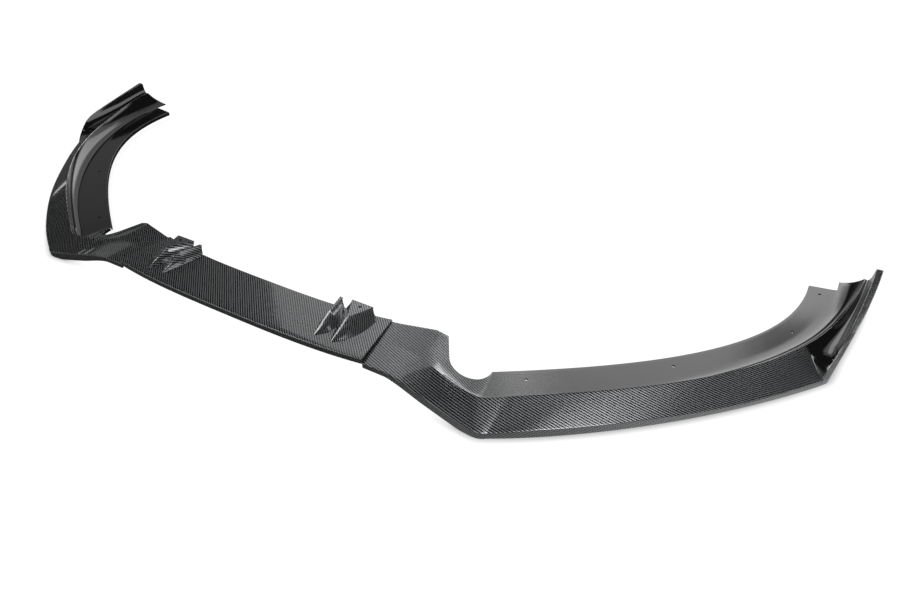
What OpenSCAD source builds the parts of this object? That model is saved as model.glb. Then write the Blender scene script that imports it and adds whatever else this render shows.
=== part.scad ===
// Front splitter lip in three moulded sections.
// X runs across the car, +Y runs towards the wheels, +Z is up, and Z = 0 is the ground it lies on.

/* [Centre section] */
// Width of the centre section along its front edge
centre_w = 528; // [440:1:560]
// Width of the centre section at the ends of its rear edge
centre_rear_w = 500; // [420:1:540]
// Height of its flat top above the ground
centre_top = 48; // [44:0.5:60]
// Depth of its flat top at each end
centre_end_d = 100; // [90:1:115]
// How far the front edge bows forward in the middle
front_bow = 13; // [4:0.5:20]
// How far the rear edge is set forward in the middle
rear_bow = 17; // [6:0.5:24]
// Height of the edge that is turned down along the front
front_lip = 10; // [7:0.5:14]

/* [Mouldings] */
// Wall thickness of every moulding
wall = 3; // [2.4:0.1:3.6]
// Height of the rolled edge round the recess and the notch
hem = 8; // [6:0.5:12]
// Length of each side section's tongue under the centre section
lap = 30; // [20:1:45]

/* [Front corner of a side section] */
// Distance of the front corner from the middle of the car
corner_x = 467; // [450:1:485]
// How far the front corner stands ahead of the inner end
corner_ahead = 14; // [0:1:20]
// Height of the top edge at the front corner
corner_h = 10; // [7:0.5:12]
// Height of the top edge beside the centre section
inner_h = 40; // [36:0.5:42]
// Where the top edge starts to fall towards the corner
fall_x = 305; // [290:1:330]
// Length of the rounding ahead of the corner
corner_round = 15; // [6:1:26]
// Height of the edge band where it leaves the joint
front_band = 9; // [7:0.5:12]
// Height of the edge band where it reaches the ground
corner_band = 14; // [10:0.5:16]

/* [Outer edge] */
// Half the width of the lip at the foot of the winglet
foot_x = 867; // [850:1:885]
// Distance of that foot behind the front corner
foot_back = 362; // [330:1:380]
// Height of the outer edge along the blade
edge_h = 15; // [12:0.5:20]
// Height of the outer edge at the foot of the winglet
foot_h = 9; // [8:0.5:14]
// How far the bottom of the outer edge is set in
edge_tuck = 4; // [0:0.5:7]

/* [Winglet] */
// Half the width of the whole lip, over the winglets
half_width = 902; // [885:1:925]
// Distance of the winglet's rear end behind the front corner
wing_back = 601; // [570:1:620]
// Height of the winglet at its rear end
wing_h = 80; // [70:1:95]
// Height of the winglet at the top of its leading edge
wing_lead_h = 51; // [44:1:58]
// Width of the flat along the top of the winglet at its rear end
wing_flat = 11; // [9:0.5:14]
// Length of the leading edge's foot along the blade
wing_lead = 22; // [14:1:30]

/* [Ridge and recess] */
// Height of the ridge along the blade
ridge_h = 40; // [34:0.5:44]
// Height of the ridge at its rear end
ridge_rear_h = 55; // [48:0.5:62]
// Height of the mounting flange
flange_h = 18; // [15:0.5:22]
// Width of the cove between ridge and flange at the rear
cove_w = 33; // [26:1:38]
// Width of the recess opening at the rear end
recess_w = 79; // [70:1:90]

/* [Notch] */
// Radius of the notch in the rear edge
notch_r = 33.5; // [28:0.5:36]
// Distance of the notch from the middle of the car
notch_x = 395; // [388:1:402]
// Distance of the notch from the inner end's front edge
notch_y = 97; // [92:1:104]
// Angle in plan of the notch's straight limb
notch_limb_a = 122; // [110:1:135]

/* [Strakes] */
// Height of a strake above the flat top at its knee
strake_h = 19; // [14:0.5:24]
// Height of a strake above the flat top at its rear end
strake_rear_h = 15; // [11:0.5:18]
// Length of a strake along the flat top
strake_len = 88; // [80:1:92]
// Distance of the outer strake's nose from the middle
outer_strake_x = 201; // [196:1:208]
// Distance of the inner strake's nose from the middle
inner_strake_x = 168; // [162:1:174]
// Width of the tab at the outer strake's rear end
tab_w = 39; // [30:1:44]

/* [Screw holes] */
// Diameter of the screw holes in the flange
flange_hole_d = 5; // [4:0.1:6.5]
// Distance of the flange holes from the flange's inner edge
flange_hole_in = 20; // [16:0.5:24]
// Diameter of the screw hole in each tab
tab_hole_d = 5; // [4:0.1:6.5]

/* [Hidden] */
$fn = 48;

half_c = centre_w / 2;
half_rear = centre_rear_w / 2;
seat_gap = 0.3;
inner_y = 4;
inner_rear_y = inner_y + centre_end_d;
corner_y = inner_y - corner_ahead;
wing_y = corner_y + wing_back;
tail_y = wing_y + 19;
mid_y = (inner_y - front_bow + tail_y) / 2;

corner = [corner_x, corner_y];
// Where the blade's edge would start without the rounding of the corner
blade_start = corner + [3, 5];
foot = [foot_x, corner_y + foot_back];
wing_end = [half_width, wing_y];
ridge_start = [corner_x - 8, corner_y + 54];
ridge_end = [half_width - 21, wing_y - 3];
recess_start = [notch_x + notch_r - 1, notch_y + 8];
recess_end = [ridge_end.x - recess_w, tail_y + 2];

// A unit vector at an angle in plan
function dir(a) = [cos(a), sin(a)];

function clamp01(x) = min(1, max(0, x));

// A smooth step from 0 at a to 1 at b
function ease(a, b, x) = let (u = clamp01((x - a) / (b - a))) u * u * (3 - 2 * u);

function mix(a, b, u) = a * (1 - u) + b * u;

function unit(v) = v / norm(v);

function lift(p, z) = [p.x, p.y, z];

// The middle of a list of points
function mean(list) = [for (p = list) 1 / len(list)] * list;

// A cubic curve from its four control points
function cubic(a, b, c, d, u) =
    a * pow(1 - u, 3) + b * 3 * u * pow(1 - u, 2) + c * 3 * u * u * (1 - u) + d * pow(u, 3);

// A curve between two points that is drawn towards a third
function bend(a, v, b, u) = a * pow(1 - u, 2) + v * 2 * u * (1 - u) + b * u * u;

// A plan curve between two points that leaves and arrives at given angles
function sweep(a, angle_a, reach_a, b, angle_b, reach_b, u) =
    let (chord = norm(b - a))
    cubic(a, a + dir(angle_a) * reach_a * chord, b - dir(angle_b) * reach_b * chord, b, u);

foot_reach = 0.39;
function blade_edge(u) = sweep(blade_start, 27, 0.2, foot, 54, foot_reach, u);
function wing_edge(u) = sweep(foot, 72, 0.23, wing_end, 88, 0.29, u);
function ridge_line(u) = sweep(ridge_start, 30, 0.55, ridge_end, 86, 0.26, u);
function recess_line(u) = sweep(recess_start, 33, 0.48, recess_end, 96, 0.32, u);

// Stations run along a side section: 0 to 1 from the tongue to the corner, 1 to 2 round it,
// 2 to 3 along the blade and 3 to 4 along the winglet
corner_share = 0.02;
wing_share = 0.59;
lead_share = 0.08;
blade_end = 1 - wing_lead / (3 * foot_reach * norm(foot - blade_start));
tongue_x = half_c - lap;

// How far along the ridge a station lies
function along(s) =
    s < 1 ? 0 :
    s < 2 ? corner_share * (s - 1) :
    s < 3 ? mix(corner_share, wing_share, s - 2) :
    mix(wing_share, 1, pow(s - 3, 1.4));

// How far the front edge has fallen from the joint to the corner, from 0 to 1
function fall_of(x) =
    let (u = clamp01((x - fall_x) / (corner_x - fall_x))) (u + ease(0, 1, u)) / 2;

function edge_front(x) =
    [x, mix(inner_y, corner_y, clamp01((x - fall_x) / (corner_x - fall_x))),
     mix(inner_h, corner_h, fall_of(x))];

function edge_height(u) =
    mix(corner_h, edge_h, ease(0, 0.2, u)) - (edge_h - foot_h) * ease(0.45, 0.8, u);

function wing_height(u) =
    let (lead = 0.25,
         rise = (wing_lead_h - foot_h) / lead,
         run = (wing_h - wing_lead_h) / (1 - lead),
         soft = 0.05,
         tip = pow(max(0, u - 0.97) / 0.03, 2) * 4)
    u < lead - soft ? foot_h + rise * u :
    u > lead + soft ? wing_lead_h + run * (u - lead) - tip :
    foot_h + rise * u - (rise - run) * pow(u - lead + soft, 2) / (4 * soft);

bend_x = corner_x - corner_round;

// Top of the outer edge
function outer_top(s) =
    s < 1 ? edge_front(mix(tongue_x, bend_x, s)) :
    s < 2 ? bend(edge_front(bend_x), lift(corner, corner_h),
                 lift(blade_edge(corner_share), edge_height(corner_share)), s - 1) :
    s < 3 ? let (u = mix(corner_share, blade_end, s - 2)) lift(blade_edge(u), edge_height(u)) :
    s < 3 + lead_share ? lift(blade_edge(mix(blade_end, 1, (s - 3) / lead_share)), foot_h) :
    let (u = (s - 3 - lead_share) / (1 - lead_share)) lift(wing_edge(u), wing_height(u));

// Direction in plan from the outer edge towards the recess
function inward(s) = let (g = ridge(s), o = outer_top(s)) unit([g.x - o.x, g.y - o.y, 0]);

// Bottom of the outer edge
function outer_bottom(s) =
    let (o = outer_top(s),
         lean = s < 2 ? 0 : s < 3 ? sin(180 * (s - 2)) : mix(0, 1.6, ease(3 + lead_share, 3.4, s)),
         p = o + inward(s) * edge_tuck * lean,
         band = mix(front_band, corner_band, ease(fall_x, fall_x + 70, o.x)))
    lift(p, s < 2 ? max(0, o.z - band) : 0);

// Inner border of the flat that becomes the winglet's top
wing_inner_end = [wing_end.x - wing_flat, wing_end.y - 4];
function inner_top(s) =
    let (o = outer_top(s), g = ridge(s), w = 4,
         blade = mix(o, g, w / norm([g.x - o.x, g.y - o.y])),
         q = s - 3,
         flat = sweep(blade_edge(blade_end), 52, 0.115, wing_inner_end, 88, 0.26, clamp01(q)),
         rise = 3.5 * ease(0.28, 0.45, q) - 1.5 * ease(0.7, 1, q))
    s < 3 ? blade : mix(blade, lift(flat, o.z + rise), ease(0, 0.1, q));

// Top of the ridge
function ridge(s) =
    let (crest = ridge_line(along(s)),
         front_end = [ridge_start.x - 17, ridge_start.y - 9])
    s < 1 ? let (x = mix(tongue_x, front_end.x, s))
        [x, mix(60, front_end.y, ease(fall_x, corner_x - 40, x)), front_ridge_z(x)] :
    s < 2 ? bend(lift(front_end, front_ridge_z(front_end.x)),
                 [ridge_start.x - 6, ridge_start.y - 7, ridge_h - 7.5],
                 lift(ridge_line(corner_share), ridge_z(corner_share)), s - 1) :
    lift(crest, ridge_z(along(s)));

function front_ridge_z(x) =
    mix(tongue_z(60), ridge_h - 8, pow(clamp01((x - half_c) / (ridge_start.x - half_c)), 1.7));

function ridge_z(u) =
    ridge_h - 8 * exp(-u / 0.07) + (ridge_rear_h - ridge_h) * ease(0.63, 1, u);

// Height of the flat tongue under the centre section
function tongue_z(y) = mix(inner_h, centre_top - wall - seat_gap, (y - inner_y) / centre_end_d);

// Height of the flat beside the joint and of the ramp that falls from it to the flange
ramp_x = half_c + 62;
ramp_top = centre_top + 1;
ramp_a = atan((ramp_top - flange_h) / (recess_start.x - ramp_x));
function ramp_z(x) =
    x < half_c ? tongue_z(inner_rear_y) :
    x < ramp_x ? mix(tongue_z(inner_rear_y), ramp_top, (x - half_c) / (ramp_x - half_c)) :
    max(flange_h, ramp_top - (x - ramp_x) * tan(ramp_a));

// Rear edge of the flat, then inner edge of the flange
function recess_edge(s) =
    let (x = mix(tongue_x, recess_start.x, s),
         y = x < half_rear ? inner_rear_y - seat_gap :
             x < ramp_x ? mix(inner_rear_y - seat_gap, notch_y + 20, (x - half_rear) / (ramp_x - half_rear)) :
             x < ramp_x + 18 ? mix(notch_y + 20, notch_y + 22, (x - ramp_x) / 18) :
             mix(notch_y + 22, recess_start.y, (x - ramp_x - 18) / (recess_start.x - ramp_x - 18)))
    s < 1 ? [x, y, ramp_z(x)] : lift(recess_line(along(s)), flange_h);

// Foot of the cove
function cove_foot(s) =
    let (g = ridge(s), i = recess_edge(s), span = [i.x - g.x, i.y - g.y, 0],
         w = mix(16, cove_w, ease(0.05, 0.5, along(s))),
         p = g + unit(span) * w,
         plane_z = mix(g.z, i.z, w / norm(span)),
         tail = s < 2 ? 0 : ease(0.9, 1, along(s)))
    s < 1 ? lift(p, mix(plane_z, ramp_z(p.x), ease(ramp_x, ramp_x + 60, p.x))) :
    [p.x, mix(p.y, tail_y, tail), mix(flange_h, flange_h + 5, ease(0.6, 1, along(s)))];

blade_steps = 6;
cove_steps = 4;

// Section across a side section, from the outer bottom edge to the rolled edge
function section(s) =
    let (ob = outer_bottom(s), o = outer_top(s), w = inner_top(s), g = ridge(s),
         k = cove_foot(s), i = recess_edge(s),
         wing = ease(3.02, 3.3, s),
         valley_in = mix(w, g, 0.12),
         valley_mid = mix(w, g, 0.45),
         tail = s < 2 ? 0 : ease(0.8, 1, along(s)),
         b1 = mix(mix(w, g, 1 / 3), lift(valley_in, g.z - mix(6, 1, tail)), wing),
         b2 = mix(mix(w, g, 2 / 3), lift(valley_mid, g.z - mix(10, 4, tail)), wing),
         dip = mix(g, k, mix(0.25, 0.4, tail)),
         c1 = mix(mix(g, k, 0.5), lift(dip, mix(g.z, k.z, mix(0.92, 0.65, tail))), ease(0.45, 0.95, s)),
         rim = mix(wall + 2, hem, ease(half_c, ramp_x, i.x)))
    concat([ob, o, w],
           [for (n = [1 : blade_steps - 1]) cubic(w, b1, b2, g, n / blade_steps)],
           [g],
           [for (n = [1 : cove_steps - 1]) bend(g, c1, k, n / cove_steps)],
           [k, mix(k, i, 0.5), i, i - [0, 0, rim]]);

front_steps = 12;
corner_steps = 5;
blade_stations = 16;
stations = concat([for (n = [0 : front_steps - 1]) n / front_steps],
                  [for (n = [0 : corner_steps - 1]) 1 + n / corner_steps],
                  [for (n = [0 : blade_stations - 1]) 2 + n / blade_stations],
                  [3, 3.04, 3.08, 3.14, 3.2, 3.26, 3.32, 3.4, 3.5, 3.6, 3.7, 3.8, 3.9, 3.96, 3.985, 4]);

// Moves a surface point inwards by a wall, square to the faces on both sides of it
function inset(p, m, n, j, i, t) =
    let (run = p[min(m, j + 1)][i] - p[max(0, j - 1)][i],
         before = i > 0 ? unit(cross(run, p[j][i] - p[j][i - 1])) : undef,
         after = i < n ? unit(cross(run, p[j][i + 1] - p[j][i])) : undef,
         a = i > 0 ? before : after,
         b = i < n ? after : before,
         v = (a + b) / max(0.4, 1 + a * b))
    (i == 0 || i == n) && abs(v.z) < 0.7 ? p[j][i] - t * unit([v.x, v.y, 0]) : p[j][i] - t * v;

// The rows of points that lie a wall below a grid of surface points
function lining(p, t) =
    let (m = len(p) - 1, n = len(p[0]) - 1)
    [for (j = [0 : m]) [for (i = [0 : n]) inset(p, m, n, j, i, t)]];

function quad(a, b, c, d) = [[a, b, c], [a, c, d]];

// A moulded skin over a grid of points
module skin(p, t) {
    m = len(p) - 1;
    n = len(p[0]) - 1;
    low = lining(p, t);
    w = n + 1;
    half = (m + 1) * w;
    faces = concat(
        [for (j = [0 : m - 1]) for (i = [0 : n - 1])
            each quad(j * w + i, j * w + i + 1, (j + 1) * w + i + 1, (j + 1) * w + i)],
        [for (j = [0 : m - 1]) for (i = [0 : n - 1])
            each quad(half + j * w + i, half + (j + 1) * w + i,
                      half + (j + 1) * w + i + 1, half + j * w + i + 1)],
        [for (j = [0 : m - 1])
            each quad(j * w, (j + 1) * w, half + (j + 1) * w, half + j * w)],
        [for (j = [0 : m - 1])
            each quad(j * w + n, half + j * w + n, half + (j + 1) * w + n, (j + 1) * w + n)],
        [for (i = [0 : n - 1])
            each quad(i, half + i, half + i + 1, i + 1)],
        [for (i = [0 : n - 1])
            each quad(m * w + i, m * w + i + 1, half + m * w + i + 1, half + m * w + i)]);
    polyhedron(concat([for (row = p) each row], [for (row = low) each row]), faces);
}

// A solid through closed rings of points, with a fan at each end
module loft(rings) {
    m = len(rings) - 1;
    w = len(rings[0]);
    first_mid = (m + 1) * w;
    faces = concat(
        [for (j = [0 : m - 1]) for (i = [0 : w - 1])
            each quad(j * w + i, j * w + (i + 1) % w, (j + 1) * w + (i + 1) % w, (j + 1) * w + i)],
        [for (i = [0 : w - 1]) [first_mid, (i + 1) % w, i]],
        [for (i = [0 : w - 1]) [first_mid + 1, m * w + i, m * w + (i + 1) % w]]);
    polyhedron(concat([for (r = rings) each r], [mean(rings[0]), mean(rings[m])]), faces);
}

side_rows = [for (s = stations) section(s)];

// Wall that closes the winglet's rear end
module wing_cap() {
    row = lining(side_rows, 0.6 * wall)[len(side_rows) - 3];
    ridge_at = 2 + blade_steps;
    outline = [for (i = [0 : ridge_at]) [row[i].x, row[i].z]];
    translate([0, wing_end.y - 4, 0]) rotate([90, 0, 0])
        linear_extrude(wall) polygon(concat(outline, [[row[ridge_at].x + 2, hem]]));
}

limb_len = 60;

// The space of the notch, grown by a wall where the rolled edge stands
module notch_space(grow) {
    translate([notch_x, notch_y + 4, 0]) cylinder(r = notch_r + grow, h = ramp_top + hem);
    translate([notch_x, notch_y + 4, 0]) rotate([0, 0, notch_limb_a])
        translate([0, -(grow == 0 ? notch_r : 0), 0])
            cube([limb_len, (grow == 0 ? 2 : 1) * notch_r + grow, ramp_top + hem]);
}

// Rolled edge that stands under the ramp round the notch
module notch_rim() {
    difference() {
        intersection() {
            notch_space(wall);
            translate([ramp_x, 0, ramp_top]) rotate([0, ramp_a, 0])
                translate([0, 0, -hem]) cube([160, notch_y + 20, hem - wall / 2]);
        }
        translate([notch_x, notch_y + 6, 0]) cube([2 * notch_r, 2 * notch_r, centre_top]);
    }
}

// Where the screw holes pass through the flange: share of its length, and extra distance in
flange_hole_at = [[0.055, 0], [0.34, 0], [0.69, 7], [0.91, 0]];
function flange_hole(at) =
    let (u = at[0], run = unit(recess_line(u + 0.01) - recess_line(u - 0.01)))
    recess_line(u) + [run.y, -run.x] * (flange_hole_in + at[1]);

module side_section() {
    cut_x = ridge_end.x - cove_w;
    difference() {
        union() {
            skin(side_rows, wall);
            wing_cap();
            notch_rim();
        }
        notch_space(0);
        translate([tongue_x - 1, -20, 0]) cube([lap + 1 + seat_gap, inner_y + 32, centre_top]);
        translate([recess_end.x - 20, tail_y - 29, 0]) cube([cut_x - recess_end.x + 20, 60, ridge_h]);
        for (at = flange_hole_at)
            translate([flange_hole(at).x, flange_hole(at).y, 0])
                cylinder(d = flange_hole_d, h = ridge_h);
    }
}

// Section across the centre section, from the bottom of its front lip to its rear edge
function centre_section_row(a) =
    let (swell = 1 - pow(abs(a), 3),
         y_front = inner_y - front_bow * swell,
         y_rear = inner_rear_y - rear_bow * swell)
    [for (q = [[y_front, front_lip], [y_front, 2], [y_front + 0.7, 0.7], [y_front + 2.2, 0],
               [mix(y_front, y_rear, 0.5), 0], [y_rear, 0]])
        [a * centre_half(q[0]), q[0], centre_top - q[1]]];

// Half the width of the centre section at a depth
function centre_half(y) = mix(half_c, half_rear, (y - inner_y) / centre_end_d);

centre_steps = 16;
centre_rows = [for (n = [-centre_steps : centre_steps]) centre_section_row(n / centre_steps)];

// Edge that is turned down along the joint and rests on the tongue
module side_lip() {
    y0 = inner_y + 1;
    y1 = inner_rear_y - 1;
    inset_x = 0.1;
    function post(y, x, z) = [centre_half(y) - x, y, z];
    function end_ring(y) =
        [post(y, inset_x, tongue_z(y) + seat_gap), post(y, inset_x, centre_top - wall / 2),
         post(y, wall, centre_top - wall / 2), post(y, wall, tongue_z(y) + seat_gap)];
    loft([end_ring(y0), end_ring(y1)]);
}

strake_y = inner_y + 8;
strake_rake = 12;
inner_strake_len = strake_len - 3;
knee = 0.52;

// Section across a strake: nose position, spread and bulge of its base, its top at the rear
// and its length
function strake_ring(x, base_out, bulge, base_in, top, len, t) =
    let (y_base = strake_y + (strake_len - strake_rake) * t,
         y_top = strake_y + len * t,
         back = clamp01((t - knee) / (1 - knee)),
         h = t < knee ? strake_h * t / knee : mix(strake_h, strake_rear_h, back),
         crease_h = min(6, 0.6 * h),
         out_x = x + 1.5 + base_out * (1 - pow(1 - t, 3)) + bulge * sin(180 * t),
         in_x = x - 1.5 - base_in * (1 - pow(1 - t, 1.3)),
         top_out = x + 1 + mix(t, top[1], back),
         top_in = x - 1 + mix(-t, top[0], back))
    [[out_x, y_base, -1],
     [mix(out_x, top_out, 0.35), mix(y_base, y_top, 0.3), crease_h],
     [mix(out_x, top_out, 0.75), mix(y_base, y_top, 0.6), mix(crease_h, h, 0.42)],
     [top_out, y_top, h],
     [top_in, y_top, h],
     [mix(in_x, top_in, 0.7), mix(y_base, y_top, 0.6), mix(crease_h, h, 0.35)],
     [mix(in_x, top_in, 0.3), mix(y_base, y_top, 0.3), crease_h],
     [in_x, y_base, -1]];

function outer_ring(t) = strake_ring(outer_strake_x, 30, 0, 28, [16 - tab_w, 16], strake_len, t);
function inner_ring(t) = strake_ring(inner_strake_x, 0, 18, 19, [-12, -9], inner_strake_len, t);

// The hollow under a section of a strake
function hollow_ring(r) =
    let (c = mean(r), last = len(r) - 1)
    [for (i = [0 : last])
        let (q = r[i], v = [q.x - c.x, 0, q.z - c.z], p = q - v * min(0.85, 1.15 * wall / norm(v)))
        i == 0 || i == last ? lift(p, -2 * wall) : p];

solid_at = [0, 0.06, 0.13, 0.22, 0.32, 0.42, 0.52, 0.64, 0.76, 0.88, 1];
hollow_at = [0.3, 0.42, 0.52, 0.64, 0.76, 0.88, 0.95];

module strakes() {
    translate([0, 0, centre_top]) {
        loft([for (t = solid_at) outer_ring(t)]);
        loft([for (t = solid_at) inner_ring(t)]);
    }
}

module strake_hollows() {
    translate([0, 0, centre_top]) {
        loft([for (t = hollow_at) hollow_ring(outer_ring(t))]);
        loft([for (t = hollow_at) hollow_ring(inner_ring(t))]);
    }
}

tab_hole = [outer_strake_x - 1, strake_y + strake_len - 11];

module both() {
    children();
    mirror([1, 0, 0]) children();
}

module centre_section() {
    color("#232527") translate([0, -mid_y, 0]) difference() {
        union() {
            skin(centre_rows, wall);
            both() side_lip();
            both() strakes();
        }
        both() strake_hollows();
        both() translate([tab_hole.x, tab_hole.y, centre_top - 2 * wall])
            cylinder(d = tab_hole_d, h = strake_h + 3 * wall);
    }
}

module right_side_section() {
    color("#1c1d1f") translate([0, -mid_y, 0]) side_section();
}

module left_side_section() {
    color("#1c1d1f") mirror([1, 0, 0]) translate([0, -mid_y, 0]) side_section();
}

centre_section();
left_side_section();
right_side_section();
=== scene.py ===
"""Looks of a three-section front splitter lip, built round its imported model."""

import logging
import math
from dataclasses import dataclass, field
from enum import Enum
from typing import Callable, Iterable, Sequence, TypeVar

import bmesh
import bpy
from mathutils import Matrix, Vector


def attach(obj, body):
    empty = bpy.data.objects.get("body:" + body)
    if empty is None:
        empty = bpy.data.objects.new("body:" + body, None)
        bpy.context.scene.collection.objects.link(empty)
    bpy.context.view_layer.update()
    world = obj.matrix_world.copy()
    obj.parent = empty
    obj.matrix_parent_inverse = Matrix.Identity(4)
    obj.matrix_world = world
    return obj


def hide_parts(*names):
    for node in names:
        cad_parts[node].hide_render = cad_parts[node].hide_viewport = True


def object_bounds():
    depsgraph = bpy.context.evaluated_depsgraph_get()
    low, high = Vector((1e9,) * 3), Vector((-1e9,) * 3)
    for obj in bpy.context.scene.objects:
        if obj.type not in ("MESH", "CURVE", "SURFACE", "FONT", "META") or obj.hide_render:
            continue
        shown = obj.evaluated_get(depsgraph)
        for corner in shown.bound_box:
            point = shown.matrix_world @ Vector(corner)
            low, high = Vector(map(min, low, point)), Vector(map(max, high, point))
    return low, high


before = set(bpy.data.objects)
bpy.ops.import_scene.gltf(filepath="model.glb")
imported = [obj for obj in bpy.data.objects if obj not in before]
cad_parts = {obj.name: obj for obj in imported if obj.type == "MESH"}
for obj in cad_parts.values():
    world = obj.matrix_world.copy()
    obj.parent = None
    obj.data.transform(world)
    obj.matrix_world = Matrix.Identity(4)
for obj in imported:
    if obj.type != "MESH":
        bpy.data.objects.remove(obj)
CAD_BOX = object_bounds()

log = logging.getLogger("lip")
MM = 0.001
IMAGE_WIDTH = 920
Blend = TypeVar("Blend", float, Vector)


class Side(Enum):
    """Which side of the car a moulding is on; the value is the sign of its X."""

    RIGHT = 1
    LEFT = -1


def clamp01(x: float) -> float:
    """Returns x held between 0 and 1."""
    return min(1.0, max(0.0, x))


def ease(a: float, b: float, x: float) -> float:
    """Returns a smooth step from 0 at a to 1 at b."""
    u = clamp01((x - a) / (b - a))
    return u * u * (3 - 2 * u)


def mix(a: Blend, b: Blend, u: float) -> Blend:
    """Returns the blend of two numbers or points, a at 0 and b at 1."""
    return a * (1 - u) + b * u


def cubic(a: Blend, b: Blend, c: Blend, d: Blend, u: float) -> Blend:
    """Returns the point at u on a cubic curve with four control points."""
    return a * (1 - u) ** 3 + b * 3 * u * (1 - u) ** 2 + c * 3 * u * u * (1 - u) + d * u**3


def bend(a: Blend, v: Blend, b: Blend, u: float) -> Blend:
    """Returns the point at u on a curve from a to b that is drawn towards v."""
    return a * (1 - u) ** 2 + v * 2 * u * (1 - u) + b * u * u


def plan_dir(angle: float) -> Vector:
    """Returns the unit vector at an angle in plan, in degrees."""
    return Vector((math.cos(math.radians(angle)), math.sin(math.radians(angle))))


def sweep(
    a: Vector, angle_a: float, reach_a: float, b: Vector, angle_b: float, reach_b: float, u: float
) -> Vector:
    """Returns a point on a plan curve that leaves a and arrives at b at given angles.

    Args:
        a: where the curve starts.
        angle_a: its direction there, in degrees.
        reach_a: how far it keeps that direction, as a share of the chord.
        b: where it ends.
        angle_b: its direction there, in degrees.
        reach_b: how far before the end it takes that direction, as a share of the chord.
        u: share of the way, from 0 to 1.

    Returns:
        The point in plan.
    """
    chord = (b - a).length
    return cubic(a, a + plan_dir(angle_a) * reach_a * chord, b - plan_dir(angle_b) * reach_b * chord, b, u)


def lift(p: Vector, z: float) -> Vector:
    """Returns a plan point at a height."""
    return Vector((p.x, p.y, z))


def linear(code: str) -> tuple[float, float, float, float]:
    """Turns an sRGB colour to linear.

    Args:
        code: the colour as a hex value with its hash sign.

    Returns:
        Linear red, green and blue, and an alpha of 1.
    """
    parts = [int(code[k : k + 2], 16) / 255 for k in (1, 3, 5)]
    rgb = [c / 12.92 if c <= 0.04045 else ((c + 0.055) / 1.055) ** 2.4 for c in parts]
    return (rgb[0], rgb[1], rgb[2], 1.0)


def add_node(
    tree: bpy.types.NodeTree, kind: str, links: dict | None = None, **settings: object
) -> bpy.types.Node:
    """Adds one node with its settings and incoming links.

    Args:
        tree: the node tree.
        kind: the node's type name.
        links: input name or index, to an output socket or a plain value.
        settings: properties of the node.

    Returns:
        The new node.
    """
    node = tree.nodes.new(kind)
    for name, value in settings.items():
        setattr(node, name, value)
    for key, value in (links or {}).items():
        if isinstance(value, bpy.types.NodeSocket):
            tree.links.new(value, node.inputs[key])
        else:
            node.inputs[key].default_value = value
    return node


def maths(
    tree: bpy.types.NodeTree, operation: str, *values: bpy.types.NodeSocket | float
) -> bpy.types.NodeSocket:
    """Adds one Math node and returns its output; values are sockets or numbers."""
    return add_node(tree, "ShaderNodeMath", dict(enumerate(values)), operation=operation).outputs[0]


# Shape of the mouldings


@dataclass(frozen=True)
class LipPlan:
    """Sizes that all three mouldings share, in millimetres, with Y from the inner front corner."""

    half_centre: float = 264.0
    half_rear: float = 250.0
    centre_top: float = 48.0
    centre_depth: float = 100.0
    front_bow: float = 13.0
    rear_bow: float = 17.0
    inner_y: float = 4.0
    tail_y: float = 610.0
    wall: float = 3.0
    seat_gap: float = 0.3
    tongue_front: float = 40.0

    @property
    def mid_y(self) -> float:
        """Returns the middle of the lip's depth, which is Y = 0 of the frame."""
        return (self.inner_y - self.front_bow + self.tail_y) / 2

    @property
    def rear_y(self) -> float:
        """Returns where the centre section's rear edge ends."""
        return self.inner_y + self.centre_depth

    def tongue_z(self, y: float) -> float:
        """Returns the height of the flat tongue under the centre section."""
        rear = self.centre_top - self.wall - self.seat_gap
        return mix(self.tongue_front, rear, (y - self.inner_y) / self.centre_depth)

    def placed(self, p: Vector, side: Side = Side.RIGHT) -> Vector:
        """Returns a millimetre point of the right half as a metre point of the frame."""
        return Vector((p.x * MM * side.value, (p.y - self.mid_y) * MM, p.z * MM))


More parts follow.
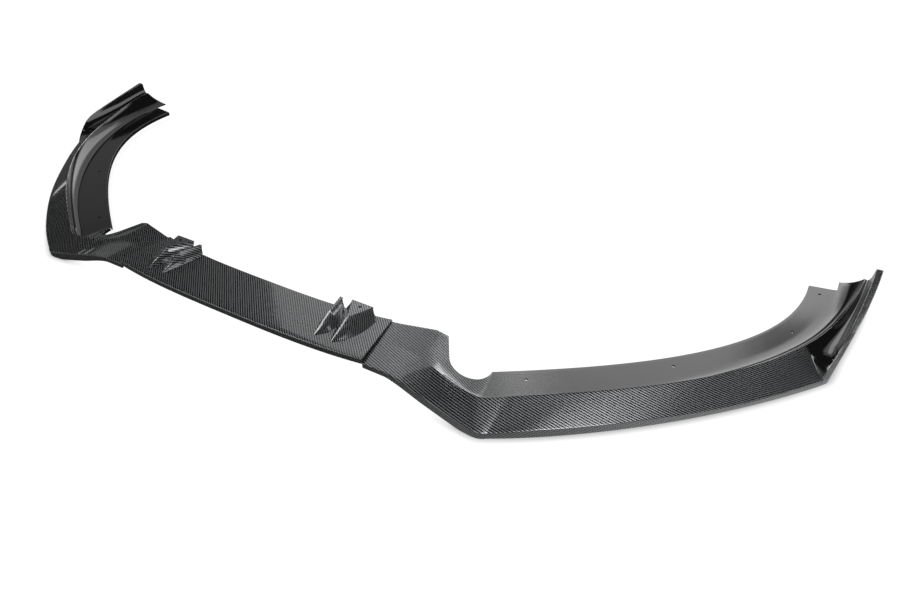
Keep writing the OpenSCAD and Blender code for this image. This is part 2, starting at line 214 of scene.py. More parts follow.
@dataclass
class SideShape:
    """The moulded surface of a side section, section by section along stations 0 to 4.

    Stations 0 to 1 run from the joint along the front, 1 to 2 round the corner, 2 to 3 along the
    blade and 3 to 4 along the winglet. Lengths are in millimetres, on the right half of the lip.
    """

    plan: LipPlan = field(default_factory=LipPlan)
    corner: Vector = field(default_factory=lambda: Vector((467, -10)))
    foot: Vector = field(default_factory=lambda: Vector((867, 352)))
    wing_end: Vector = field(default_factory=lambda: Vector((902, 591)))
    ridge_start: Vector = field(default_factory=lambda: Vector((459, 44)))
    ridge_end: Vector = field(default_factory=lambda: Vector((881, 588)))
    recess_start: Vector = field(default_factory=lambda: Vector((427.5, 105)))
    recess_end: Vector = field(default_factory=lambda: Vector((802, 612)))
    tongue_x: float = 234.0
    fall_x: float = 305.0
    corner_round: float = 15.0
    inner_h: float = 40.0
    corner_h: float = 10.0
    edge_h: float = 15.0
    foot_h: float = 9.0
    front_band: float = 9.0
    corner_band: float = 14.0
    edge_tuck: float = 4.0
    wing_h: float = 80.0
    wing_lead_h: float = 51.0
    wing_flat: float = 11.0
    wing_lead: float = 22.0
    ridge_h: float = 40.0
    ridge_rear_h: float = 55.0
    flange_h: float = 18.0
    cove_w: float = 33.0
    hem: float = 8.0
    ramp_x: float = 326.0
    notch: Vector = field(default_factory=lambda: Vector((395, 101)))
    notch_r: float = 33.5
    corner_share: float = 0.02
    wing_share: float = 0.59
    lead_share: float = 0.08
    foot_reach: float = 0.39
    edge_flat: float = 4.0
    band_run: float = 70.0
    wing_lean: float = 1.6
    wing_tip_drop: float = 4.0
    wing_flat_end: float = 4.0
    crease_y: float = 60.0
    ridge_dip: float = 8.0
    cove_front_w: float = 16.0
    cove_rise: float = 5.0
    flat_rear: float = 117.0
    ramp_rear: float = 119.0
    ramp_turn: float = 18.0
    notch_turn: float = 122.0

    @property
    def blade_start(self) -> Vector:
        """Returns where the blade's edge would start without the rounding of the corner."""
        return self.corner + Vector((3, 5))

    @property
    def blade_end(self) -> float:
        """Returns the share of the blade's edge at which the winglet starts."""
        return 1 - self.wing_lead / (3 * self.foot_reach * (self.foot - self.blade_start).length)

    @property
    def ramp_top(self) -> float:
        """Returns the height at which the ramp starts, just above the centre section."""
        return self.plan.centre_top + 1

    @property
    def ramp_slope(self) -> float:
        """Returns how much the ramp falls for each millimetre."""
        return (self.ramp_top - self.flange_h) / (self.recess_start.x - self.ramp_x)

    def blade_edge(self, u: float) -> Vector:
        """Returns the blade's outer edge in plan."""
        return sweep(self.blade_start, 27, 0.2, self.foot, 54, self.foot_reach, u)

    def wing_edge(self, u: float) -> Vector:
        """Returns the winglet's outer edge in plan."""
        return sweep(self.foot, 72, 0.23, self.wing_end, 88, 0.29, u)

    def ridge_line(self, u: float) -> Vector:
        """Returns the ridge in plan."""
        return sweep(self.ridge_start, 30, 0.55, self.ridge_end, 86, 0.26, u)

    def recess_line(self, u: float) -> Vector:
        """Returns the flange's inner edge in plan."""
        return sweep(self.recess_start, 33, 0.48, self.recess_end, 96, 0.32, u)

    def along(self, s: float) -> float:
        """Works out how far along the ridge a station lies.

        Args:
            s: the station, from 0 to 4.

        Returns:
            The share of the way along the ridge, from 0 to 1.
        """
        if s < 1:
            return 0.0
        if s < 2:
            return self.corner_share * (s - 1)
        if s < 3:
            return mix(self.corner_share, self.wing_share, s - 2)
        return mix(self.wing_share, 1.0, (s - 3) ** 1.4)

    def fall_of(self, x: float) -> float:
        """Returns how far the front edge has fallen towards the corner, from 0 to 1."""
        u = clamp01((x - self.fall_x) / (self.corner.x - self.fall_x))
        return (u + ease(0, 1, u)) / 2

    def edge_front(self, x: float) -> Vector:
        """Works out the top of the front edge between the joint and the corner.

        Args:
            x: distance from the middle of the lip.

        Returns:
            The point on the edge.
        """
        fall = clamp01((x - self.fall_x) / (self.corner.x - self.fall_x))
        y = mix(self.plan.inner_y, self.corner.y, fall)
        return Vector((x, y, mix(self.inner_h, self.corner_h, self.fall_of(x))))

    def edge_height(self, u: float) -> float:
        """Returns the height of the outer edge along the blade."""
        front = mix(self.corner_h, self.edge_h, ease(0, 0.2, u))
        return front - (self.edge_h - self.foot_h) * ease(0.45, 0.8, u)

    def wing_height(self, u: float) -> float:
        """Works out the height of the winglet's outer edge, steep at first and gentle after.

        Args:
            u: share of the way along the winglet, from 0 to 1.

        Returns:
            The height.
        """
        lead, soft = 0.25, 0.05
        rise = (self.wing_lead_h - self.foot_h) / lead
        run = (self.wing_h - self.wing_lead_h) / (1 - lead)
        if u < lead - soft:
            return self.foot_h + rise * u
        if u > lead + soft:
            tip = max(0.0, u - 0.97) / 0.03
            return self.wing_lead_h + run * (u - lead) - self.wing_tip_drop * tip**2
        return self.foot_h + rise * u - (rise - run) * (u - lead + soft) ** 2 / (4 * soft)

    def outer_top(self, s: float) -> Vector:
        """Works out the top of the outer edge.

        Args:
            s: the station, from 0 to 4.

        Returns:
            The point on the edge.
        """
        bend_x = self.corner.x - self.corner_round
        if s < 1:
            return self.edge_front(mix(self.tongue_x, bend_x, s))
        if s < 2:
            last = lift(self.blade_edge(self.corner_share), self.edge_height(self.corner_share))
            return bend(self.edge_front(bend_x), lift(self.corner, self.corner_h), last, s - 1)
        if s < 3:
            u = mix(self.corner_share, self.blade_end, s - 2)
            return lift(self.blade_edge(u), self.edge_height(u))
        if s < 3 + self.lead_share:
            return lift(self.blade_edge(mix(self.blade_end, 1.0, (s - 3) / self.lead_share)), self.foot_h)
        u = (s - 3 - self.lead_share) / (1 - self.lead_share)
        return lift(self.wing_edge(u), self.wing_height(u))

    def inward(self, s: float) -> Vector:
        """Returns the direction in plan from the outer edge to the ridge."""
        g, o = self.ridge(s), self.outer_top(s)
        return Vector((g.x - o.x, g.y - o.y, 0)).normalized()

    def outer_bottom(self, s: float) -> Vector:
        """Works out the bottom of the outer edge, which leans in below the blade and the winglet.

        Args:
            s: the station, from 0 to 4.

        Returns:
            The point on the edge.
        """
        o = self.outer_top(s)
        if s < 2:
            lean = 0.0
        elif s < 3:
            lean = math.sin(math.pi * (s - 2))
        else:
            lean = self.wing_lean * ease(3 + self.lead_share, 3.4, s)
        p = o + self.inward(s) * self.edge_tuck * lean
        band_share = ease(self.fall_x, self.fall_x + self.band_run, o.x)
        band = mix(self.front_band, self.corner_band, band_share)
        return lift(p, max(0.0, o.z - band) if s < 2 else 0.0)

    def inner_top(self, s: float) -> Vector:
        """Works out the inner border of the flat along the outer edge.

        Args:
            s: the station, from 0 to 4.

        Returns:
            The point on the border.
        """
        o, g = self.outer_top(s), self.ridge(s)
        blade = mix(o, g, self.edge_flat / Vector((g.x - o.x, g.y - o.y)).length)
        if s < 3:
            return blade
        q = s - 3
        end = self.wing_end - Vector((self.wing_flat, self.wing_flat_end))
        flat = sweep(self.blade_edge(self.blade_end), 52, 0.115, end, 88, 0.26, q)
        rise = 3.5 * ease(0.28, 0.45, q) - 1.5 * ease(0.7, 1, q)
        return mix(blade, lift(flat, o.z + rise), ease(0, 0.1, q))

    def front_ridge_z(self, x: float) -> float:
        """Returns the height of the ridge ahead of the notch."""
        u = clamp01((x - self.plan.half_centre) / (self.ridge_start.x - self.plan.half_centre))
        return mix(self.plan.tongue_z(self.crease_y), self.ridge_h - self.ridge_dip, u**1.7)

    def ridge_z(self, u: float) -> float:
        """Returns the height of the ridge along the blade and the winglet."""
        front = self.ridge_h - self.ridge_dip * math.exp(-u / 0.07)
        return front + (self.ridge_rear_h - self.ridge_h) * ease(0.63, 1, u)

    def ridge(self, s: float) -> Vector:
        """Works out the top of the ridge.

        Args:
            s: the station, from 0 to 4.

        Returns:
            The point on the ridge.
        """
        front = self.ridge_start - Vector((17, 9))
        if s < 1:
            x = mix(self.tongue_x, front.x, s)
            y = mix(self.crease_y, front.y, ease(self.fall_x, self.corner.x - 40, x))
            return Vector((x, y, self.front_ridge_z(x)))
        if s < 2:
            last = lift(self.ridge_line(self.corner_share), self.ridge_z(self.corner_share))
            turn = Vector((self.ridge_start.x - 6, self.ridge_start.y - 7, self.ridge_h - 7.5))
            return bend(lift(front, self.front_ridge_z(front.x)), turn, last, s - 1)
        return lift(self.ridge_line(self.along(s)), self.ridge_z(self.along(s)))

    def ramp_z(self, x: float) -> float:
        """Works out the height of the flat beside the joint and of the ramp after it.

        Args:
            x: distance from the middle of the lip.

        Returns:
            The height.
        """
        low = self.plan.tongue_z(self.plan.rear_y)
        if x < self.plan.half_centre:
            return low
        if x < self.ramp_x:
            share = (x - self.plan.half_centre) / (self.ramp_x - self.plan.half_centre)
            return mix(low, self.ramp_top, share)
        return max(self.flange_h, self.ramp_top - (x - self.ramp_x) * self.ramp_slope)

    def recess_edge(self, s: float) -> Vector:
        """Works out the rear edge of the flat and ramp, and then the inner edge of the flange.

        Args:
            s: the station, from 0 to 4.

        Returns:
            The point on the edge.
        """
        if s >= 1:
            return lift(self.recess_line(self.along(s)), self.flange_h)
        x = mix(self.tongue_x, self.recess_start.x, s)
        joint_y = self.plan.rear_y - self.plan.seat_gap
        turn_x = self.ramp_x + self.ramp_turn
        if x < self.plan.half_rear:
            y = joint_y
        elif x < self.ramp_x:
            share = (x - self.plan.half_rear) / (self.ramp_x - self.plan.half_rear)
            y = mix(joint_y, self.flat_rear, share)
        elif x < turn_x:
            y = mix(self.flat_rear, self.ramp_rear, (x - self.ramp_x) / self.ramp_turn)
        else:
            share = (x - turn_x) / (self.recess_start.x - turn_x)
            y = mix(self.ramp_rear, self.recess_start.y, share)
        return Vector((x, y, self.ramp_z(x)))

    def cove_foot(self, s: float) -> Vector:
        """Works out the foot of the cove between ridge and flange.

        Args:
            s: the station, from 0 to 4.

        Returns:
            The point at the foot.
        """
        g, i = self.ridge(s), self.recess_edge(s)
        span = Vector((i.x - g.x, i.y - g.y, 0))
        w = mix(self.cove_front_w, self.cove_w, ease(0.05, 0.5, self.along(s)))
        p = g + span.normalized() * w
        if s < 1:
            plane = mix(g.z, i.z, w / span.length)
            return lift(p, mix(plane, self.ramp_z(p.x), ease(self.ramp_x, self.ramp_x + 60, p.x)))
        tail = 0.0 if s < 2 else ease(0.9, 1, self.along(s))
        z = mix(self.flange_h, self.flange_h + self.cove_rise, ease(0.6, 1, self.along(s)))
        return Vector((p.x, mix(p.y, self.plan.tail_y, tail), z))

    def section(self, s: float, smooth: float = 1.2) -> tuple[list[Vector], list[float], int]:
        """Works out one section, from the outer bottom edge to the rolled edge.

        Args:
            s: the station, from 0 to 4.
            smooth: radius of the rounding on the crests, in millimetres.

        Returns:
            The points, their distance from the ridge along the surface (outwards is more),
            and the number of the point on the ridge.
        """
        ob, o, w, g = self.outer_bottom(s), self.outer_top(s), self.inner_top(s), self.ridge(s)
        k, i = self.cove_foot(s), self.recess_edge(s)
        wing = ease(3.02, 3.3, s)
        tail = 0.0 if s < 2 else ease(0.8, 1, self.along(s))
        b1 = mix(mix(w, g, 1 / 3), lift(mix(w, g, 0.12), g.z - mix(6, 1, tail)), wing)
        b2 = mix(mix(w, g, 2 / 3), lift(mix(w, g, 0.45), g.z - mix(10, 4, tail)), wing)
        hollow = lift(mix(g, k, mix(0.25, 0.4, tail)), mix(g.z, k.z, mix(0.92, 0.65, tail)))
        c1 = mix(mix(g, k, 0.5), hollow, ease(0.45, 0.95, s))
        rim = mix(self.plan.wall + 2, self.hem, ease(self.plan.half_centre, self.ramp_x, i.x))
        low = i - Vector((0, 0, rim))

        def blade(u: float) -> Vector:
            """Returns a point between the flat and the ridge."""
            return cubic(w, b1, b2, g, u)

        def cove(u: float) -> Vector:
            """Returns a point between the ridge and the cove's foot."""
            return bend(g, c1, k, u)

        def rounded(corner: Vector, before: Vector, after: Vector) -> list[Vector]:
            """Rounds a crest.

            Args:
                corner: the point at the crest.
                before: a point on the surface ahead of it.
                after: a point on the surface behind it.

            Returns:
                The points of the rounding.
            """
            a = corner + (before - corner).normalized() * min(smooth, 0.4 * (before - corner).length)
            b = corner + (after - corner).normalized() * min(smooth, 0.4 * (after - corner).length)
            return [bend(a, corner, b, t / 4) for t in range(5)]

        points = [ob, mix(ob, o, 0.3), mix(ob, o, 0.6)]
        points += rounded(o, ob, w)
        points += [mix(o, w, 0.6)]
        if s >= 3:
            points += rounded(w, o, blade(0.08))
        else:
            points += [mix(o, w, 0.8 + 0.1 * t) for t in range(3)] + [blade(0.03), blade(0.06)]
        points += [blade(u / 16) for u in range(2, 16)]
        crest = len(points) + 2
        points += rounded(g, blade(15 / 16), cove(1 / 14))
        points += [cove(u / 14) for u in range(1, 14)]
        ahead, behind = cove(13 / 14), mix(k, i, 0.12)
        points += [bend(ahead, k, behind, t / 4) for t in range(1, 4)]
        points += [mix(k, i, u) for u in (0.12, 0.25, 0.4, 0.55, 0.7, 0.85)]
        points += rounded(i, mix(k, i, 0.85), low)
        points += [mix(i, low, 0.5), low]
        reach = [0.0] * len(points)
        for n in range(crest - 1, -1, -1):
            reach[n] = reach[n + 1] + (points[n] - points[n + 1]).length
        for n in range(crest + 1, len(points)):
            reach[n] = reach[n - 1] - (points[n] - points[n - 1]).length
        return points, reach, crest


def stations(counts: Sequence[int] = (44, 14, 90, 84)) -> list[float]:
    """Spreads the stations along a side section.

    Args:
        counts: how many stations each of its four parts gets.

    Returns:
        The stations, from 0 to 4.
    """
    out = [part + n / count for part, count in enumerate(counts) for n in range(count)]
    return out + [4.0]


# Mesh helpers


def finish_mesh(name: str, bm: bmesh.types.BMesh, sharp: float = 32.0) -> bpy.types.Object:
    """Turns a bmesh into a linked object with smooth faces and sharp creases.

    Args:
        name: the piece's name.
        bm: its mesh, which is freed.
        sharp: angle of a crease, in degrees.

    Returns:
        The new object.
    """
    mesh = bpy.data.meshes.new(name)
    for face in bm.faces:
        face.smooth = True
    bm.to_mesh(mesh)
    bm.free()
    mesh.set_sharp_from_angle(angle=math.radians(sharp))
    piece = bpy.data.objects.new(name, mesh)
    bpy.context.scene.collection.objects.link(piece)
    return piece


def lay_grid(
    rows: list[list[Vector]],
    weave: Callable[[int, int], tuple[float, float]],
    printed: Callable[[int, list[int]], float],
) -> bmesh.types.BMesh:
    """Lays a grid over rows of points and gives it the UV maps of the print.

    Args:
        rows: the rows of points, all of one length, in metres.
        weave: gives the place on the cloth for a row and a column.
        printed: gives the strength of the print for a row and the columns of a face.

    Returns:
        The grid, with faces that look up.
    """
    last_row, last_column = len(rows) - 1, len(rows[0]) - 1
    bm = bmesh.new()
    bmesh.ops.create_grid(bm, x_segments=last_row, y_segments=last_column, size=0.5)
    cloth = bm.loops.layers.uv.new("Weave")
    mask = bm.loops.layers.uv.new("Print")
    cell = {v: (round((v.co.x + 0.5) * last_row), round((v.co.y + 0.5) * last_column)) for v in bm.verts}
    for vert, (j, n) in cell.items():
        vert.co = rows[j][n]
    for face in bm.faces:
        columns = [cell[vert][1] for vert in face.verts]
        for loop in face.loops:
            j, n = cell[loop.vert]
            loop[cloth].uv = weave(j, n)
            loop[mask].uv = (printed(j, columns), 0.0)
    bmesh.ops.recalc_face_normals(bm, faces=bm.faces)
    if sum(face.normal.z * face.calc_area() for face in bm.faces) < 0:
        bmesh.ops.reverse_faces(bm, faces=bm.faces)
    return bm


def cut(bm: bmesh.types.BMesh, cutters: Iterable[bmesh.types.BMesh], is_open: bool) -> bmesh.types.BMesh:
    """Cuts solids out of a mesh.

    Args:
        bm: the mesh that is cut, which is freed.
        cutters: one closed mesh for each cut, each freed.
        is_open: whether the mesh is a skin without thickness, which gets no walls from the cutters.

    Returns:
        The mesh that is left.
    """
    piece = finish_mesh("blank", bm)
    tools = []
    for number, tool_bm in enumerate(cutters):
        for face in tool_bm.faces:
            face.material_index = 1
        tools.append(finish_mesh(f"cutter_{number}", tool_bm))
        modifier = piece.modifiers.new(f"cut_{number}", "BOOLEAN")
        modifier.operation = "DIFFERENCE"
        modifier.solver = "EXACT"
        modifier.object = tools[-1]
    for part in (piece, *tools):
        part.data.materials.append(None)
        part.data.materials.append(None)
    bpy.context.view_layer.update()
    result = bmesh.new()
    result.from_object(piece, bpy.context.evaluated_depsgraph_get())
    if is_open:
        walls = [face for face in result.faces if face.material_index == 1]
        bmesh.ops.delete(result, geom=walls, context="FACES")
    for face in result.faces:
        face.material_index = 0
    for part in (piece, *tools):
        mesh = part.data
        bpy.data.objects.remove(part)
        bpy.data.meshes.remove(mesh)
    return result


def rod(centre: Vector, radius: float, height: float, segments: int) -> bmesh.types.BMesh:
    """Builds an upright cylinder, with all lengths in metres.

    Args:
        centre: the middle of its lower end.
        radius: its radius.
        height: its height.
        segments: how many sides it has.

    Returns:
        The closed mesh.
    """
    bm = bmesh.new()
    lift_up = Matrix.Translation(centre + Vector((0, 0, height / 2)))
    bmesh.ops.create_cone(bm, cap_ends=True, segments=segments, radius1=radius, radius2=radius,
                          depth=height, matrix=lift_up)
    return bm


def block(low: Vector, high: Vector, turn: Matrix | None = None) -> bmesh.types.BMesh:
    """Builds a box, with all lengths in metres.

    Args:
        low: its corner with the lowest coordinates.
        high: its corner with the highest coordinates.
        turn: turns and moves the box, if it is given.

    Returns:
        The closed mesh.
    """
    bm = bmesh.new()
    size = Matrix.Diagonal((*(high - low), 1))
    bmesh.ops.create_cube(bm, size=1.0, matrix=Matrix.Translation((low + high) / 2) @ size)
    if turn is not None:
        bmesh.ops.transform(bm, matrix=turn, verts=bm.verts)
    return bm


# Finishes


@dataclass(frozen=True)
class TwillPrint:
    """ABS moulding with a hydro-dipped twill print under a clear gloss coat.

    The silver ink of the print throws back light like brushed foil, and the coat over it mirrors
    the room sharply, so the weave is bright where a lamp stands over it and black elsewhere.
    """

    name: str
    yarn: float = 1.27 * MM
    ink: str = "#999b9d"
    ground: str = "#040405"
    plain: str = "#141415"
    ink_roughness: float = 0.37
    ground_roughness: float = 0.09
    ink_metallic: float = 0.9
    ior: float = 1.5
    coat_roughness: float = 0.03
    ripple_scale: float = 34.0
    ripple_strength: float = 0.05
    ripple_depth: float = 2 * MM

    def build(self) -> bpy.types.Material:
        """Builds the material.

        Returns:
            The material, which reads the unrolled cloth from UV map Weave and the strength of the
            print from UV map Print. On the side sections that strength also carries a painted dark
            reflection and a painted sheen.
        """
        material = bpy.data.materials.new(self.name)
        material.use_nodes = True
        tree = material.node_tree
        tree.nodes.clear()
        weave = add_node(tree, "ShaderNodeUVMap", uv_map="Weave").outputs[0]
        cloth = add_node(tree, "ShaderNodeMapping", {"Vector": weave, "Rotation": (0, 0, math.radians(45)),
                                                     "Scale": (1 / self.yarn, 1 / self.yarn, 1)}).outputs[0]
        axes = add_node(tree, "ShaderNodeSeparateXYZ", {0: cloth})
        column = maths(tree, "FLOOR", axes.outputs[0])
        row = maths(tree, "FLOOR", axes.outputs[1])
        step = maths(tree, "FLOORED_MODULO", maths(tree, "SUBTRACT", row, column), 4.0)
        over = maths(tree, "LESS_THAN", step, 2.0)
        printed = add_node(tree, "ShaderNodeUVMap", uv_map="Print").outputs[0]
        mask = add_node(tree, "ShaderNodeSeparateXYZ", {0: printed}).outputs[0]
        ink = maths(tree, "MULTIPLY", over, mask)
        colour = add_node(tree, "ShaderNodeMix", {0: mask, 6: linear(self.plain), 7: linear(self.ground)},
                          data_type="RGBA")
        shade = add_node(tree, "ShaderNodeMix", {0: ink, 6: colour.outputs[2], 7: linear(self.ink)},
                         data_type="RGBA")
        place = add_node(tree, "ShaderNodeTexCoord").outputs["Object"]
        ripple = add_node(tree, "ShaderNodeTexNoise", {
            "Vector": place, "Scale": self.ripple_scale, "Detail": 2.0})
        wave = add_node(tree, "ShaderNodeBump", {
            "Height": ripple.outputs[0], "Strength": self.ripple_strength, "Distance": self.ripple_depth})
        rough = add_node(tree, "ShaderNodeMapRange", {
            0: ink, 3: self.ground_roughness, 4: self.ink_roughness})
        shader = add_node(tree, "ShaderNodeBsdfPrincipled", {
            "Base Color": shade.outputs[2], "Metallic": maths(tree, "MULTIPLY", ink, self.ink_metallic),
            "Roughness": rough.outputs[0], "IOR": self.ior, "Coat Weight": mask,
            "Coat Roughness": self.coat_roughness, "Coat IOR": self.ior, "Normal": wave.outputs[0],
            "Coat Normal": wave.outputs[0]})
        add_node(tree, "ShaderNodeOutputMaterial", {"Surface": shader.outputs[0]})
        return material


# Mouldings


@dataclass
class SideSection:
    """One side section: ramp, blade, ridge, cove, flange and winglet in one moulding.

    The rib and stretch values say how the printed film turned and drew closer on the right as it
    wrapped the curve, as measured in the photograph. Fades are stations or shares of the ridge,
    and the heights of the cuts and the reach of the notch are in metres.
    """

    side: Side
    shape: SideShape = field(default_factory=SideShape)
    hole_r: float = 2.5
    dark_reflection_column: int = 13
    recess_print_and_sheen: float = 0.28
    hole_at: tuple[tuple[float, float], ...] = ((0.055, 20.0), (0.34, 20.0), (0.69, 27.0), (0.91, 20.0))
    rib_slope: float = -0.336
    rib_turn: float = 0.001135
    rib_curl: float = 1.76e-6
    stretch: float = 0.83
    stretch_gain: float = 0.00068
    print_edge: float = -0.8
    recess_fade: tuple[float, float] = (0.7, 1.2)
    cove_fade: tuple[float, float] = (0.03, 0.13)
    dark_reflection_fade: tuple[float, float] = (3.02, 3.1)
    rim_gap: float = 0.12
    rim_drop: float = 0.3
    rim_sweep: float = 148.0
    rim_limb: float = 42.0
    notch_reach: float = 0.06
    cut_below: float = 0.01
    cut_height: float = 0.08
    block_top: float = 0.07
    end_cuts: tuple[tuple[float, float, float, float], ...] = (
        (233.0, -20.0, 264.3, 8.0),
        (782.0, 581.0, 848.0, 641.0),
    )

    @property
    def name(self) -> str:
        """Returns the node's name."""
        return f"{self.side.name.lower()}_side_section"

    def print_mask(self, s: float, outward: float) -> float:
        """Returns how strongly the weave is printed, from 0 to 1, with painted sheen on the right recess.

        Args:
            s: the station.
            outward: distance from the ridge along the surface; less than 0 is the recess side.

        Returns:
            The strength of the print.
        """
        if outward >= self.print_edge:
            return 1.0
        # On the right the recess round the notch and the corner keeps a faint print that the left lacks, so
        # it reads lighter: painted sheen.
        faint_print_and_sheen = self.recess_print_and_sheen if self.side is Side.RIGHT else 0.0
        kept = 1.0 - ease(*self.cove_fade, self.shape.along(s))
        return mix(1.0, faint_print_and_sheen, ease(*self.recess_fade, s)) * kept

    def surface(self) -> bmesh.types.BMesh:
        """Builds the moulding's skin from a grid that is laid over its sections.

        Returns:
            The skin, without thickness.
        """
        spots = stations()
        sections = [self.shape.section(s) for s in spots]

        def weave(j: int, n: int) -> tuple[float, float]:
            """Unrolls a point of the skin outwards from the ridge.

            Args:
                j: number of the section.
                n: number of the point on it.

            Returns:
                Its place on the cloth.
            """
            points, reach, crest = sections[j]
            flat = points[crest] - self.shape.inward(spots[j]) * reach[n]
            return self.cloth(flat)

        def printed(j: int, columns: list[int]) -> float:
            """Works out how strongly a face is printed, and takes the print off the winglet's inner face as
            a painted dark reflection.

            Args:
                j: number of the section.
                columns: numbers of the face's points.

            Returns:
                The strength, from 0 to 1.
            """
            middle = sum(sections[j][1][n] for n in columns) / len(columns)
            # On the winglet's inner face, from below its flat top down to the ridge, print and coat are
            # taken off so the face shows plain black: a painted dark reflection.
            in_dark_reflection = min(columns) >= self.dark_reflection_column and middle > 0
            painted_dark_reflection = ease(*self.dark_reflection_fade, spots[j]) if in_dark_reflection else 0.0
            return self.print_mask(spots[j], middle) * (1.0 - painted_dark_reflection)

        rows = [[self.shape.plan.placed(p, self.side) for p in points] for points, _, _ in sections]
        return lay_grid(rows, weave, printed)

    def cloth(self, p: Vector) -> tuple[float, float]:
        """Works out where a point lies on the printed cloth.

        On the left the film lies as on the centre section. On the right it stretched as it wrapped
        the curve, so its ribs turn with the blade and draw closer together.

        Args:
            p: the point in plan, in millimetres.

        Returns:
            The place along and across the twill's ribs, in metres.
        """
        if self.side is Side.LEFT:
            return twill_45(Vector((-p.x, p.y)))
        x = p.x - self.shape.plan.half_centre
        rib = self.rib_slope * x + self.rib_turn * x * x / 2 + self.rib_curl * x**3 / 6
        return (x * MM, (p.y - rib) * MM * (self.stretch + self.stretch_gain * x))

    def notch_rim(self) -> bmesh.types.BMesh:
        """Builds the rolled edge that stands under the ramp round the notch.

        Returns:
            The edge, with its wall.
        """
        shape = self.shape
        bm = bmesh.new()
        radius = shape.notch_r - self.rim_gap
        centre = Vector((shape.notch.x, shape.notch.y, 0))
        top = bm.verts.new(centre + Vector((radius, 0, 1)))
        low = bm.verts.new(centre + Vector((radius, 0, 0)))
        edge = bm.edges.new((top, low))
        turned = bmesh.ops.spin(bm, geom=[top, low, edge], cent=centre, axis=(0, 0, 1),
                                angle=-math.radians(self.rim_sweep), steps=36, use_merge=False)
        last = [e for e in turned["geom_last"] if isinstance(e, bmesh.types.BMEdge)]
        limb = plan_dir(shape.notch_turn) * self.rim_limb
        pushed = bmesh.ops.extrude_edge_only(bm, edges=last)["geom"]
        moved = [v for v in pushed if isinstance(v, bmesh.types.BMVert)]
        bmesh.ops.translate(bm, vec=(limb.x, limb.y, 0), verts=moved)
        for vert in bm.verts:
            ceiling = shape.ramp_z(vert.co.x) - self.rim_drop
            z = ceiling if vert.co.z > 0.5 else ceiling - shape.hem
            vert.co = shape.plan.placed(lift(vert.co, z), self.side)
        bmesh.ops.recalc_face_normals(bm, faces=bm.faces)
        bmesh.ops.solidify(bm, geom=bm.faces[:], thickness=self.thickness_out(bm) * shape.plan.wall * MM)
        bmesh.ops.recalc_face_normals(bm, faces=bm.faces)
        return bm

    def thickness_out(self, bm: bmesh.types.BMesh) -> float:
        """Works out to which side the rim's wall grows.

        Args:
            bm: the rim before it has a wall.

        Returns:
            The sign of a thickness that grows away from the notch.
        """
        shape = self.shape
        centre = shape.plan.placed(Vector((shape.notch.x, shape.notch.y, 0)), self.side)
        bm.faces.ensure_lookup_table()
        face = bm.faces[0]
        to_centre = centre - face.calc_center_median()
        return 1.0 if to_centre.xy.dot(face.normal.xy) > 0 else -1.0

    def cutters(self) -> list[bmesh.types.BMesh]:
        """Builds the solids that are cut out of the skin.

        Returns:
            The round notch, its open side, the tongue's corner, the flange's end and the screw
            holes, each as a closed mesh.
        """
        shape, place = self.shape, self.shape.plan.placed
        below = Vector((0, 0, self.cut_below))
        base = place(Vector((shape.notch.x, shape.notch.y, 0)), self.side) - below
        radius = shape.notch_r * MM
        solids = [rod(base, radius, self.cut_height, 96)]
        angle = math.radians(shape.notch_turn)
        turn = Matrix.Rotation(angle if self.side is Side.RIGHT else math.pi - angle, 4, "Z")
        far = Vector((self.notch_reach, radius, self.cut_height))
        solids.append(block(Vector((0, -radius, 0)), far, Matrix.Translation(base) @ turn))
        for x0, y0, x1, y1 in self.end_cuts:
            a, b = place(Vector((x0, y0, 0)), self.side), place(Vector((x1, y1, 0)), self.side)
            low = Vector((min(a.x, b.x), a.y, -self.cut_below))
            solids.append(block(low, Vector((max(a.x, b.x), b.y, self.block_top))))
        for u, inset in self.hole_at:
            run = (shape.recess_line(u + 0.01) - shape.recess_line(u - 0.01)).normalized()
            spot = lift(shape.recess_line(u) + Vector((run.y, -run.x)) * inset, 0)
            solids.append(rod(place(spot, self.side) - below, self.hole_r * MM, self.cut_height, 32))
        return solids

    def build(self, finish: bpy.types.Material) -> list[bpy.types.Object]:
        """Builds and dresses the moulding.

        Args:
            finish: the material of the moulding.

        Returns:
            The piece that stands for the CAD node, and its rim.
        """
        bm = cut(self.surface(), self.cutters(), is_open=True)
        bmesh.ops.solidify(bm, geom=bm.faces[:], thickness=self.shape.plan.wall * MM)
        # The wall grows along the normals, so its points are held between the CAD model's heights.
        for vert in bm.verts:
            vert.co.z = min(max(vert.co.z, CAD_BOX[0][2]), CAD_BOX[1][2])
        piece = finish_mesh(f"{self.name}_moulding", bm)
        rim = finish_mesh(f"{self.name}_rim", self.notch_rim())
        for part in (piece, rim):
            part.data.materials.clear()
            part.data.materials.append(finish)
            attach(part, "root")
        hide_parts(self.name)
        log.info("%s: %d faces", piece.name, len(piece.data.polygons))
        return [piece, rim]


